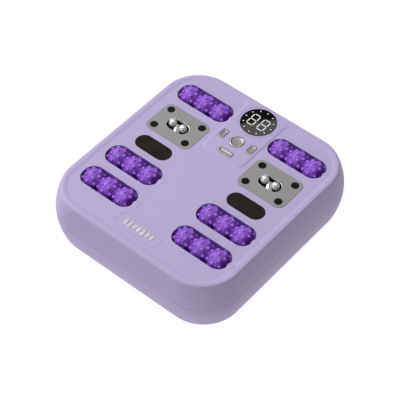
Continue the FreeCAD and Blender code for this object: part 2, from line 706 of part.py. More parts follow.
def pulley(side, y, z, bore):
    """Flanged belt pulley."""
    x0, x1 = PULLEY_X
    drum = rod_x(PULLEY_RADIUS, (side * x0, side * x1), y, z)
    rim = PULLEY_RADIUS + PULLEY_FLANGE_RIM
    flange_a = rod_x(rim, (side * x0, side * (x0 + PULLEY_FLANGE)), y, z)
    flange_b = rod_x(rim, (side * (x1 - PULLEY_FLANGE), side * x1), y, z)
    wheel = fuse([drum, flange_a, flange_b])
    return wheel.cut(rod_x(bore, (side * x0 - 10, side * x1 + 10), y, z)) if bore else wheel


def make_bushes():
    rings = []
    end = WINDOW_LENGTH / 2 + WELL_GAP
    for _, _, _, _, x, y in stations():
        for sign in (-1, 1):
            span = (x + sign * end, x + sign * (end + WELL_WALL + WELL_BOSS))
            outer = rod_x(BUSH_RADIUS, span, y, ROLLER_AXIS_Z)
            rings.append(outer.cut(rod_x(AXLE_RADIUS + RUNNING_CLEARANCE, (span[0] - 9, span[0] + 9), y,
                                         ROLLER_AXIS_Z)))
    return Part.makeCompound(rings)


def loop_wire(circles, x):
    """Tight loop round circles (y, z, radius) in the plane at x, listed in counter-clockwise order."""
    tangents = []
    for index, (y0, z0, r0) in enumerate(circles):
        y1, z1, r1 = circles[(index + 1) % len(circles)]
        distance = math.hypot(y1 - y0, z1 - z0)
        heading = math.atan2(z1 - z0, y1 - y0)
        normal = heading - math.pi / 2 + math.asin((r1 - r0) / distance)
        ny, nz = math.cos(normal), math.sin(normal)
        tangents.append((V(x, y0 + r0 * ny, z0 + r0 * nz), V(x, y1 + r1 * ny, z1 + r1 * nz), normal))
    edges = []
    for index, (y0, z0, r0) in enumerate(circles):
        start, end, leave = tangents[index]
        before_end, arrive = tangents[index - 1][1], tangents[index - 1][2]
        turn = (leave - arrive) % (2 * math.pi)
        half = arrive + turn / 2
        middle = V(x, y0 + r0 * math.cos(half), z0 + r0 * math.sin(half))
        edges.append(Part.Arc(before_end, middle, start).toShape())
        edges.append(Part.LineSegment(start, end).toShape())
    return Part.Wire(edges)


def make_belt(side):
    heel = (ROLLER_Y["heel"], ROLLER_AXIS_Z, PULLEY_RADIUS)
    motor = (MOTOR_Y, MOTOR_Z, PULLEY_RADIUS)
    toe = (ROLLER_Y["toe"], ROLLER_AXIS_Z, PULLEY_RADIUS)
    x0, x1 = (side * x for x in BELT_X)
    faces = []
    for grow in (BELT_GAP, BELT_GAP + BELT_THICKNESS):
        circles = [(y, z, r + grow) for y, z, r in (heel, motor, toe)]
        faces.append(Part.Face(loop_wire(circles, min(x0, x1))))
    sweep = V(abs(x1 - x0), 0, 0)
    return faces[1].extrude(sweep).cut(faces[0].extrude(sweep))


def make_motor(side):
    g0, g1 = (side * x for x in GEARBOX_X)
    half = GEARBOX_SIZE / 2
    gearbox = block((g0, g1), (MOTOR_Y - half, MOTOR_Y + half), (MOTOR_Z - half, MOTOR_Z + half))
    gearbox = gearbox.makeFillet(3.0, edges_where(
        gearbox, lambda p: abs(abs(p.y - MOTOR_Y) - half) < 1e-4 and abs(abs(p.z - MOTOR_Z) - half) < 1e-4))
    c0, c1 = (side * x for x in MOTOR_CAN_X)
    can = rod_x(MOTOR_CAN_RADIUS, (c0, c1), MOTOR_Y, MOTOR_Z)
    cap = rod_x(MOTOR_CAP_RADIUS, (c0, c0 - side * MOTOR_CAP_LENGTH), MOTOR_Y, MOTOR_Z)
    motor = fuse([gearbox, can, cap])
    socket = rod_x(MOTOR_SHAFT_RADIUS + RUNNING_CLEARANCE, (g1 + side, g1 - side * MOTOR_SOCKET),
                   MOTOR_Y, MOTOR_Z)
    return motor.cut(socket)


def make_motor_pulley(side):
    wheel = pulley(side, MOTOR_Y, MOTOR_Z, 0)
    shaft = rod_x(MOTOR_SHAFT_RADIUS, (side * (PULLEY_X[0] + 1), side * (GEARBOX_X[1] - MOTOR_SOCKET + 1)),
                  MOTOR_Y, MOTOR_Z)
    return fuse([wheel, shaft])


def make_plate(side):
    x = side * PLATE_X
    plate = slab(PLATE_WIDTH, PLATE_DEPTH, PLATE_RADIUS, (PLATE_SEAT_Z, PLATE_TOP_Z), x, PLATE_Y)
    plate = plate.makeFillet(PLATE_EDGE_CHAMFER, at_height(plate, PLATE_TOP_Z))
    tools = [disc(MAGNET_RADIUS + 0.05, (PLATE_SEAT_Z - 1, PLATE_TOP_Z + 1), mx, my)
             for mx, my in magnet_places(side)]
    tools.append(stadium(BALL_WINDOW, (PLATE_SEAT_Z - 1, PLATE_TOP_Z + 1), x, BALL_WINDOW_Y, TRIM_WIDTH))
    return cut_all(plate, tools)


def magnet_places(side):
    for dx in (-MAGNET_X, MAGNET_X):
        for dy in (-MAGNET_Y, MAGNET_Y):
            yield side * PLATE_X + dx, PLATE_Y + dy


def make_magnets():
    discs = []
    for _, side in SIDES:
        for x, y in magnet_places(side):
            piece = disc(MAGNET_RADIUS, (PLATE_SEAT_Z, MAGNET_TOP_Z), x, y)
            discs.append(piece.makeFillet(MAGNET_EDGE_FILLET, at_height(piece, MAGNET_TOP_Z)))
    return Part.makeCompound(discs)


def make_ball_trim(side):
    """Thin ring flush with the plate, rounded towards the balls."""
    x = side * PLATE_X
    z_range = (PLATE_SEAT_Z, TRIM_TOP_Z)
    ring = stadium(BALL_WINDOW, z_range, x, BALL_WINDOW_Y, TRIM_WIDTH - TRIM_FIT)
    ring = ring.cut(stadium(BALL_WINDOW, z_range, x, BALL_WINDOW_Y))
    reach_x = BALL_WINDOW[0] / 2 + TRIM_EDGE_MARGIN
    reach_y = BALL_WINDOW[1] / 2 + TRIM_EDGE_MARGIN
    inner = at_height(ring, TRIM_TOP_Z,
                      lambda point: abs(point.x - x) < reach_x and abs(point.y - BALL_WINDOW_Y) < reach_y)
    return ring.makeFillet(TRIM_FILLET, inner)


def make_ball_cups():
    cups = []
    for _, side in SIDES:
        x = side * PLATE_X
        outer = stadium(BALL_WINDOW, (CUP_FLOOR_Z, PLATE_SEAT_Z), x, BALL_WINDOW_Y, TRIM_WIDTH + CUP_WALL)
        inner = stadium(BALL_WINDOW, (CUP_FLOOR_Z + CUP_WALL, PLATE_SEAT_Z + 1), x, BALL_WINDOW_Y, TRIM_WIDTH)
        cups.append(outer.cut(inner))
    return Part.makeCompound(cups)


def make_ball_yoke(side):
    """Tapered ridge from the heel side of the window to the hub of the pin that carries both balls."""
    x = side * PLATE_X
    edge_y = BALL_WINDOW_Y - BALL_WINDOW[1] / 2

    def ridge(section, y):
        low = (V(x + section[-1][0], y, YOKE_LOW_Z), V(x + section[0][0], y, YOKE_LOW_Z))
        points = [V(x + dx, y, z) for dx, z in section]
        points.extend(low)
        return Part.makePolygon(points + [points[0]])

    stem = Part.makeLoft([ridge(YOKE_EDGE_SECTION, edge_y), ridge(YOKE_TIP_SECTION, YOKE_TIP_Y)], True, True)
    post = block((x - YOKE_HUB_HALF, x + YOKE_HUB_HALF), (edge_y + YOKE_POST_INSET, YOKE_TIP_Y),
                 (CUP_FLOOR_Z + CUP_WALL, YOKE_LOW_Z + 1))
    hub = rod_x(YOKE_HUB_RADIUS, (x - YOKE_HUB_HALF, x + YOKE_HUB_HALF), PLATE_Y, CHROME_BALL_Z)
    inside = stadium(BALL_WINDOW, (CUP_FLOOR_Z, RIM_Z + CHROME_BALL_RADIUS), x, BALL_WINDOW_Y, -YOKE_WALL_GAP)
    stem = stem.common(inside)
    for sign in (-1, 1):
        middle = V(x + sign * CHROME_BALL_X, PLATE_Y, CHROME_BALL_Z)
        stem = stem.cut(Part.makeSphere(CHROME_BALL_RADIUS + BALL_CLEARANCE, middle))
    pin = rod_x(PIN_RADIUS, (x - PIN_HALF_LENGTH, x + PIN_HALF_LENGTH), PLATE_Y, CHROME_BALL_Z)
    return fuse([stem, post, hub, pin])


def make_chrome_ball(x):
    """Ball turned about its pin: an arc and the straight wall of the bore, revolved about X."""
    bore = PIN_RADIUS + RUNNING_CLEARANCE
    half = math.sqrt(CHROME_BALL_RADIUS ** 2 - bore ** 2)
    left = V(-half, 0, bore)
    right = V(half, 0, bore)
    outline = Part.Wire([Part.Arc(left, V(0, 0, CHROME_BALL_RADIUS), right).toShape(),
                         Part.LineSegment(right, left).toShape()])
    ball = Part.Face(outline).revolve(V(0, 0, 0), X_AXIS, 360)
    ball.translate(V(x, PLATE_Y, CHROME_BALL_Z))
    return ball


def make_ir_lens(side):
    lens = stadium(LENS_SIZE, (LENS_SEAT_Z, TREAD_Z), side * LENS_X, LENS_Y)
    return lens.makeFillet(0.3, at_height(lens, TREAD_Z))


def make_ir_boards():
    boards = []
    for _, side in SIDES:
        x = side * LENS_X
        board = slab(IR_BOARD_SIZE[0], IR_BOARD_SIZE[1], 2.0, IR_BOARD_Z, x, LENS_Y)
        leds = []
        for column in (-2, -1, 0, 1, 2):
            for row in (-0.5, 0.5):
                leds.append(disc(IR_LED_RADIUS, (IR_BOARD_Z[1] - SINK, IR_LED_TOP_Z),
                                 x + column * IR_LED_PITCH_X, LENS_Y + row * IR_LED_PITCH_Y))
        boards.append(fuse([board] + leds))
    return Part.makeCompound(boards)


def make_display_lens():
    top = RIM_Z + DISPLAY_PROUD
    lens = disc(DISPLAY_RADIUS, (RIM_Z - DISPLAY_THICKNESS, top), 0.0, DISPLAY_Y)
    return lens.makeFillet(DISPLAY_EDGE_FILLET, at_height(lens, top))


def make_display_board():
    board = disc(DISPLAY_BOARD_RADIUS, DISPLAY_BOARD_Z, 0.0, DISPLAY_Y)
    digits = slab(DISPLAY_BLOCK[0], DISPLAY_BLOCK[1], 2.0, (DISPLAY_BOARD_Z[1] - SINK, DISPLAY_BLOCK_TOP_Z),
                  0.0, DISPLAY_Y)
    return fuse([board, digits])


def make_switch_board():
    width, depth, y = SWITCH_BOARD
    board = slab(width, depth, 2.0, SWITCH_BOARD_Z, 0.0, y)
    half = SWITCH_SIZE / 2
    switch_z = (SWITCH_BOARD_Z[1] - SINK, SWITCH_TOP_Z)
    switches = [block((bx - half, bx + half), (by - half, by + half), switch_z)
                for _, bx, by, _, _, _ in BUTTONS]
    limit = block((-width / 2, width / 2), (y - depth / 2, y + depth / 2), (SWITCH_BOARD_Z[0], SWITCH_TOP_Z))
    return fuse([board] + [piece.common(limit) for piece in switches])


def make_button(x, y, width, depth, radius):
    """Key with a dished top, on a stem and a flange that keeps it under the panel."""
    top = RIM_Z + BUTTON_PROUD
    flange_top = PANEL_UNDER_Z - BUTTON_FLANGE_DROP
    cap = slab(width, depth, radius - 0.01, (flange_top - SINK, top), x, y)
    cap = cap.makeFillet(BUTTON_EDGE_FILLET, at_height(cap, top))
    flange = slab(width + 2 * BUTTON_FLANGE, depth + 2 * BUTTON_FLANGE, radius + BUTTON_FLANGE - 0.01,
                  (flange_top - BUTTON_FLANGE_THICKNESS, flange_top), x, y)
    stem = disc(BUTTON_STEM_RADIUS, (BUTTON_STEM_BOTTOM_Z, flange_top), x, y)
    button = fuse([cap, flange, stem])
    if width == depth:
        depth_of_dish = DISH_RADIUS ** 2 / (2 * DISH_SPHERE_RADIUS)
        sphere_z = top + DISH_SPHERE_RADIUS - depth_of_dish
        return button.cut(Part.makeSphere(DISH_SPHERE_RADIUS, V(x, y, sphere_z)))
    dish_z = (top - DISH_DEPTH, top + 1)
    dish = slab(width - 2 * DISH_MARGIN, depth - 2 * DISH_MARGIN, DISH_CORNER, dish_z, x, y)
    dish = dish.makeFillet(DISH_FLOOR_FILLET, at_height(dish, top - DISH_DEPTH))
    return button.cut(dish)


def board_screw_places():
    width, depth = MAIN_BOARD
    for dx in (-1, 1):
        for dy in (-1, 1):
            yield dx * (width / 2 - BOARD_SCREW_INSET), MAIN_BOARD_Y + dy * (depth / 2 - BOARD_SCREW_INSET)


def make_main_board():
    board = slab(MAIN_BOARD[0], MAIN_BOARD[1], 2.0, MAIN_BOARD_Z, 0.0, MAIN_BOARD_Y)
    seat = MAIN_BOARD_Z[1] - SINK
    parts = []
    for x_range, (near, far), height in BOARD_BLOCKS:
        parts.append(block(x_range, (MAIN_BOARD_Y + near, MAIN_BOARD_Y + far), (seat, seat + height)))
    for x, y in CAPACITORS:
        parts.append(disc(CAPACITOR_RADIUS, (seat, seat + CAPACITOR_HEIGHT), x, MAIN_BOARD_Y + y))
    board = fuse([board] + parts)
    holes = [disc(BOARD_SCREW_RADIUS + 0.1, (MAIN_BOARD_Z[0] - 1, MAIN_BOARD_Z[1] + 1), x, y)
             for x, y in board_screw_places()]
    return cut_all(board, holes)


def make_board_screws():
    screws = []
    for x, y in board_screw_places():
        top = MAIN_BOARD_Z[1]
        head_radius, head_height = BOARD_SCREW_HEAD
        head = disc(head_radius, (top, top + head_height), x, y)
        slot = disc(head_radius * 0.45, (top + head_height * 0.5, top + head_height), x, y)
        shank = disc(BOARD_SCREW_RADIUS, (top - BOARD_SCREW_LENGTH, top), x, y)
        screws.append(head.cut(slot).fuse(shank).removeSplitter())
    return Part.makeCompound(screws)


def inlet_wall():
    """Y of the rear wall's outer surface at the inlet's height."""
    return BODY_DEPTH / 2 - BARREL * (INLET_Z - SEAM_Z) ** 2


def inlet_body_front():
    return inlet_wall() - WALL - INLET_SETBACK


def make_power_inlet():
    """Low-voltage barrel socket that looks out of the rear wall."""
    face_y = inlet_wall() - INLET_RECESS
    width, depth, height = INLET_BODY
    inner_y = inlet_body_front()
    barrel = Part.makeCylinder(INLET_BARREL_RADIUS, face_y - inner_y, V(INLET_X, inner_y, INLET_Z), Y_AXIS)
    body = block((INLET_X - width / 2, INLET_X + width / 2), (inner_y - depth, inner_y),
                 (INLET_Z - height / 2, INLET_Z + height / 2))
    bore = Part.makeCylinder(INLET_BORE_RADIUS, INLET_BORE_DEPTH + 1,
                             V(INLET_X, face_y - INLET_BORE_DEPTH, INLET_Z), Y_AXIS)
    pin = Part.makeCylinder(INLET_PIN_RADIUS, INLET_BORE_DEPTH - 1,
                            V(INLET_X, face_y - INLET_BORE_DEPTH, INLET_Z), Y_AXIS)
    return fuse([fuse([barrel, body]).cut(bore), pin])


def make_emblem():
    bars = []
    for bar in emblem_bars(0.0, TREAD_Z + EMBLEM_PROUD):
        bars.append(bar.makeFillet(0.4, at_height(bar, TREAD_Z + EMBLEM_PROUD)))
    return Part.makeCompound(bars)


def main():
    save("top_shell", make_top_shell())
    save("bottom_cover", make_bottom_cover())
    save("rubber_feet", make_rubber_feet())
    save("cover_screws", make_cover_screws())
    save("well_screws", make_well_screws())
    save("axle_bushes", make_bushes())
    save("magnet_discs", make_magnets())
    save("ball_cups", make_ball_cups())
    save("ir_boards", make_ir_boards())
    save("display_lens", make_display_lens())
    save("display_board", make_display_board())
    save("switch_board", make_switch_board())
    save("main_board", make_main_board())
    save("board_screws", make_board_screws())
    save("power_inlet", make_power_inlet())
    save("emblem", make_emblem())
    for name, x, y, width, depth, radius in BUTTONS:
        save(name, make_button(x, y, width, depth, radius))
    roller_shape = make_roller_shape()
    for name, _, side, _, x, y in stations():
        roller = roller_shape.copy()
        roller.translate(V(x, y, ROLLER_AXIS_Z))
        save("roller_" + name, roller)
        save("axle_" + name, make_axle(side, x, y))
        save("pulley_" + name, pulley(side, y, ROLLER_AXIS_Z, AXLE_RADIUS))
    for side_name, side in SIDES:
        for well_name, rows in WELLS:
            save("well_%s_%s" % (well_name, side_name), make_well(side, rows))
        save("belt_" + side_name, make_belt(side))
        save("motor_" + side_name, make_motor(side))
        save("motor_pulley_" + side_name, make_motor_pulley(side))
        save("plate_" + side_name, make_plate(side))
        save("ball_trim_" + side_name, make_ball_trim(side))
        save("ball_yoke_" + side_name, make_ball_yoke(side))
        save("ir_lens_" + side_name, make_ir_lens(side))
        for place, sign in (("inner", -side), ("outer", side)):
            save("chrome_ball_%s_%s" % (side_name, place),
                 make_chrome_ball(side * PLATE_X + sign * CHROME_BALL_X))


main()
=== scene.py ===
import json
import math

import bmesh
import bpy
import numpy as np
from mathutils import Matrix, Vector


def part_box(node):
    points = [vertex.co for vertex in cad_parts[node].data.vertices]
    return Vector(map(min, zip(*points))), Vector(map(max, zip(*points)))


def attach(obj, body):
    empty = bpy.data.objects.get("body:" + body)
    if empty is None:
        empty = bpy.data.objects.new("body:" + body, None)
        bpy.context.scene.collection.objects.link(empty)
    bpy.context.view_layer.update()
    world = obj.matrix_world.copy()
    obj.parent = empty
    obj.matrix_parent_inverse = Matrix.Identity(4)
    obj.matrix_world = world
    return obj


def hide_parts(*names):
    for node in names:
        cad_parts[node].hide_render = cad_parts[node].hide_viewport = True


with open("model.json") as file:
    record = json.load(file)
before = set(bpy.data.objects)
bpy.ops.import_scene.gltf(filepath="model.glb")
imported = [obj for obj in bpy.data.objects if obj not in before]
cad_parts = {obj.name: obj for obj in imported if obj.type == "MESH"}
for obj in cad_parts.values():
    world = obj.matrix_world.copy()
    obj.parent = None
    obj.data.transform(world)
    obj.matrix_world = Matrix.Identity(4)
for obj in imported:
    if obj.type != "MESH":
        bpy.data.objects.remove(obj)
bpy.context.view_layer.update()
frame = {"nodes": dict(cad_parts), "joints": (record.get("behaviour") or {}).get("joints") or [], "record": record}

# Looks of the electric foot massager. Metres, +Z up, +Y towards the toes and the display.

MM = 0.001
SIDES = ("left", "right")
ROWS = ("toe", "mid", "heel")

# Camera, room and lamps
VIEW_AZIMUTH = 40.07
VIEW_ELEVATION = 49.70
VIEW_DISTANCE = 2.4233
VIEW_LENS = 133.7
VIEW_AIM = Vector((0.0344, -0.0432, 0.103))
SENSOR_WIDTH = 36.0
VIEW_REACH = 50.0
ROOM_LIGHT = 0.12
FLOOR_SIZE = 14.0
FLOOR_GLOW = 0.96
FLOOR_SHADES = (60, 66)
SHEEN_PLACE = (-0.818, 1.259, 1.6)
SHEEN_SIZE = (0.30, 0.075)
SHEEN_POWER = 0.2
SHEEN_TURN = 49.1
# Name, place, point aimed at, size in metres and watts
LAMPS = (
    ("key", (-3.4, 0.35, 3.5), (0.0, 0.0, 0.1), (2.0, 2.0), 206.0),
    ("overhead", (0.3, 0.4, 3.6), (0.0, 0.0, 0.1), (1.6, 1.6), 40.0),
    ("front_fill", (-0.6, -2.4, 0.9), (0.0, 0.0, 0.05), (1.6, 1.0), 17.0),
)

# Rollers: three balls on a core, with rings of nubs
BALL_RADIUS = 18.9 * MM
BALL_PITCH = 34.5 * MM
CORE_RADIUS = 14.0 * MM
NECK_BLEND = 4.0 * MM
HUB_RADIUS = 6.0 * MM
HUB_HALF_LENGTH = 54.0 * MM
BORE_RADIUS = 3.02 * MM
NUB_ROWS = 12
NUB_PHASE = 87.0
NUB_TILTS = ((-40.0, 0.0, 40.0), (-22.5, 22.5))
NUB_HEIGHT = 2.4 * MM
NUB_TOP = 1.0 * MM
NUB_FOOT = 3.6 * MM
HUB_STEP = 0.5 * MM           # how far the hubs' root stands outside the end balls' half pitch
NECK_FADE = 1.5               # how fast the painted shade in the necks gives way up a ball's side
OUTLINE_SAMPLES = 2400
RINGS_ALONG = 210
POINTS_AROUND = 168

# Display: two seven-segment digits inside a ring of twelve ticks
DIGIT_OFFSET = 10.7 * MM
DIGIT_WIDTH = 12.6 * MM
DIGIT_HEIGHT = 25.0 * MM
STROKE = 1.8 * MM
STROKE_GAP = 0.8 * MM
TICKS = 12
TICK_RADIUS = 26.3 * MM
TICK_LENGTH = 3.0 * MM
TICK_WIDTH = 1.7 * MM
TICK_END_STEPS = 6
MARK_HEIGHT = 0.08 * MM
INK = (222, 222, 216)
INK_GLOW = 0.15

# Keys
KEY_FLANGE = 1.5 * MM
KEY_FLANGE_HEIGHT = 1.4 * MM
KEY_CAP_HEIGHT = 4.2 * MM
KEY_STEM_RADIUS = 2.0 * MM
KEY_CORNER = 3.0 * MM
KEY_BEVEL = 1.2 * MM
KEY_BEVEL_DROP = 1.0 * MM
KEY_RIM = 0.3 * MM
KEY_ROUND_RIM = 0.5 * MM
KEY_SLOPE = 1.5 * MM
KEY_DISH = 1.4 * MM
KEY_ROUND_DISH = 1.8 * MM
KEY_WALL_SHARE = 0.8          # part of the dish's depth that its side wall takes
KEY_WALL_STEPS = (0.12, 0.3, 0.5, 0.7, 0.88, 1.0)
KEY_FLOOR_STEPS = (0.25, 0.5, 0.75)
KEY_BEVEL_STEPS = 6
KEY_LEAST_CORNER = 0.4 * MM
KEY_SHARP_ANGLE = 50.0
CORNER_STEPS = 12
WELD_DISTANCE = 1e-6


# Finishes: how wide the patches are that change a surface's colour, wear and gloss
NOISE_SPAN = (0.3, 0.7)       # the part of the noise's range that is used
DRIFT_WIDTH = 55 * MM
SMUDGE_WIDTH = 18 * MM
WEAR_WIDTH = 6 * MM
WEAR_SPAN = (0.35, 0.65)
WEAR_LEAST = 0.35
WEAR_REACH = 0.9 * MM
EDGE_SAMPLES = 4
EDGE_SPAN = (0.75, 0.995)     # dot product of true and rounded normal, from a full edge to none
ROLLER_BODY = (144, 90, 204)
# Painted shade in the roller's necks between the balls
ROLLER_NECK_SHADE = (92, 28, 148)
# Painted highlight on the roller's nub tips
ROLLER_TIP_HIGHLIGHT = (164, 112, 222)
ROLLER_CLOUD = 7 * MM
ROLLER_CLOUD_LEAST = 0.92
ROLLER_SMUDGE = 5 * MM
ROLLER_ROUGH = (0.44, 0.56)
ROLLER_GRAIN = 1.2 * MM
ROLLER_RELIEF = 0.012 * MM
ROLLER_SHINE = 0.25
ROLLER_BLEED = 0.25
ROLLER_BLEED_COLOURS = (0.6, 0.3, 1.0)
ROLLER_BLEED_DEPTH = 2.5 * MM
BOARD_MASK = (18, 92, 52)
BOARD_TRACE = (44, 132, 78)
TRACE_SCALE = 160.0
TRACE_WIDTH = 0.06
TRACE_STRENGTH = 0.8


# ---------------------------------------------------------------- materials

def linear(red, green, blue):
    """Linear RGBA of a colour given as 0-255 display values."""
    def channel(value):
        value /= 255.0
        return value / 12.92 if value <= 0.04045 else ((value + 0.055) / 1.055) ** 2.4
    return (channel(red), channel(green), channel(blue), 1.0)


class Look:
    """One node-based material being put together."""

    def __init__(self, name):
        self.material = bpy.data.materials.new(name)
        self.material.use_nodes = True
        self.nodes = self.material.node_tree.nodes
        self.links = self.material.node_tree.links
        self.shader = self.nodes["Principled BSDF"]
        self.place = self.nodes.new("ShaderNodeTexCoord").outputs["Object"]

    def put(self, socket, value):
        """Sets a socket to a plain value or to another node's output."""
        if isinstance(value, bpy.types.NodeSocket):
            self.links.new(value, socket)
        else:
            socket.default_value = value

    def noise(self, width, detail=3.0, stretch=(1.0, 1.0, 1.0)):
        """Noise from 0 to 1 with features about width metres wide, longer where stretch is under 1."""
        mapping = self.nodes.new("ShaderNodeMapping")
        mapping.inputs["Scale"].default_value = stretch
        self.put(mapping.inputs["Vector"], self.place)
        texture = self.nodes.new("ShaderNodeTexNoise")
        self.put(texture.inputs["Vector"], mapping.outputs["Vector"])
        texture.inputs["Scale"].default_value = 1.0 / width
        texture.inputs["Detail"].default_value = detail
        return texture.outputs["Fac"]

    def spread(self, value, low, high, start=0.0, end=1.0):
        """Maps start..end onto low..high and stops there."""
        node = self.nodes.new("ShaderNodeMapRange")
        self.put(node.inputs["Value"], value)
        node.inputs["From Min"].default_value = start
        node.inputs["From Max"].default_value = end
        node.inputs["To Min"].default_value = low
        node.inputs["To Max"].default_value = high
        return node.outputs["Result"]

    def mix(self, first, second, share):
        """Colour between first and second."""
        node = self.nodes.new("ShaderNodeMix")
        node.data_type = "RGBA"
        self.put(node.inputs["Factor"], share)
        colours = [socket for socket in node.inputs if socket.type == "RGBA"]
        self.put(colours[0], first)
        self.put(colours[1], second)
        return [socket for socket in node.outputs if socket.type == "RGBA"][0]

    def maths(self, operation, first, second):
        node = self.nodes.new("ShaderNodeMath")
        node.operation = operation
        self.put(node.inputs[0], first)
        self.put(node.inputs[1], second)
        return node.outputs[0]

    def edges(self, radius):
        """1 along sharp edges, falling to 0 within radius metres."""
        bevel = self.nodes.new("ShaderNodeBevel")
        bevel.samples = EDGE_SAMPLES
        bevel.inputs["Radius"].default_value = radius
        true_normal = self.nodes.new("ShaderNodeNewGeometry").outputs["Normal"]
        dot = self.nodes.new("ShaderNodeVectorMath")
        dot.operation = "DOT_PRODUCT"
        self.put(dot.inputs[0], bevel.outputs["Normal"])
        self.put(dot.inputs[1], true_normal)
        return self.spread(dot.outputs["Value"], 1.0, 0.0, *EDGE_SPAN)

    def bump(self, height, depth):
        """Normal of a surface whose relief is depth metres."""
        node = self.nodes.new("ShaderNodeBump")
        node.inputs["Distance"].default_value = depth
        self.put(node.inputs["Height"], height)
        return node.outputs["Normal"]

    def attribute(self, name):
        node = self.nodes.new("ShaderNodeAttribute")
        node.attribute_name = name
        return node.outputs["Fac"]


def finish_surface(look, colour, rough, grain, relief, drift=0.04, worn=None, wear=0.0, metal=0.0,
                   shine=0.5, brushed=(1.0, 1.0, 1.0)):
    """Shared build-up of a surface: drifting colour, worn edges, uneven gloss and a fine relief. On the lilac
    shell the lighter edges are partly a painted highlight along the rim.
    """
    shader = look.shader
    broad = look.noise(DRIFT_WIDTH, 4.0)
    shade = look.spread(broad, 1.0 - 2 * drift, 1.0, *NOISE_SPAN)
    tinted = look.mix((0.0, 0.0, 0.0, 1.0), colour, shade)
    if worn is not None:
        patchy = look.spread(look.noise(WEAR_WIDTH, 5.0), WEAR_LEAST, 1.0, *WEAR_SPAN)
        # Edges tinted by wear; on the lilac shell the lighter edges are also a painted highlight
        edge_wear_and_highlight = look.maths("MULTIPLY", look.maths("MULTIPLY", look.edges(WEAR_REACH), patchy), wear)
        tinted = look.mix(tinted, worn, edge_wear_and_highlight)
    look.put(shader.inputs["Base Color"], tinted)
    smudges = look.noise(SMUDGE_WIDTH, 5.0, brushed)
    look.put(shader.inputs["Roughness"], look.spread(smudges, *rough, *NOISE_SPAN))
    fine = look.noise(grain, 2.0, brushed)
    look.put(shader.inputs["Normal"], look.bump(fine, relief))
    shader.inputs["Metallic"].default_value = metal
    shader.inputs["Specular IOR Level"].default_value = shine
    return look.material


def plain_surface(name, colour, **settings):
    look = Look(name)
    return finish_surface(look, linear(*colour), **settings)


def roller_surface():
    """Tinted moulded vinyl with light that bleeds through, a painted highlight on the nub tips and painted shade
    in the necks.
    """
    look = Look("roller_purple")
    shader = look.shader
    # Painted shade, growing down into the necks
    colour = look.mix(linear(*ROLLER_BODY), linear(*ROLLER_NECK_SHADE), look.attribute("neck_shade"))
    # Painted highlight on the nub tips
    colour = look.mix(colour, linear(*ROLLER_TIP_HIGHLIGHT), look.attribute("nub"))
    cloudy = look.spread(look.noise(ROLLER_CLOUD, 4.0), ROLLER_CLOUD_LEAST, 1.0, *NOISE_SPAN)
    look.put(shader.inputs["Base Color"], look.mix((0.0, 0.0, 0.0, 1.0), colour, cloudy))
    shader.inputs["Subsurface Weight"].default_value = ROLLER_BLEED
    shader.inputs["Subsurface Radius"].default_value = ROLLER_BLEED_COLOURS
    shader.inputs["Subsurface Scale"].default_value = ROLLER_BLEED_DEPTH
    smudges = look.noise(ROLLER_SMUDGE, 5.0)
    look.put(shader.inputs["Roughness"], look.spread(smudges, *ROLLER_ROUGH, *NOISE_SPAN))
    look.put(shader.inputs["Normal"], look.bump(look.noise(ROLLER_GRAIN, 3.0), ROLLER_RELIEF))
    shader.inputs["Specular IOR Level"].default_value = ROLLER_SHINE
    return look.material


def board_surface():
    """Green solder mask with fine copper traces showing through."""
    look = Look("board_green")
    brick = look.nodes.new("ShaderNodeTexBrick")
    look.put(brick.inputs["Vector"], look.place)
    brick.inputs["Scale"].default_value = TRACE_SCALE
    brick.inputs["Mortar Size"].default_value = TRACE_WIDTH
    traces = look.spread(brick.outputs["Fac"], 0.0, TRACE_STRENGTH)
    colour = look.mix(linear(*BOARD_MASK), linear(*BOARD_TRACE), traces)
    return finish_surface(look, colour, rough=(0.3, 0.45), grain=0.5 * MM, relief=0.01 * MM)


# The lilac shell's lighter edges: partly wear, partly a painted highlight along the rim
LILAC_WEAR_AND_HIGHLIGHT = linear(206, 196, 228)
STEEL_WORN = linear(225, 225, 228)
DARK_WORN = linear(86, 84, 88)

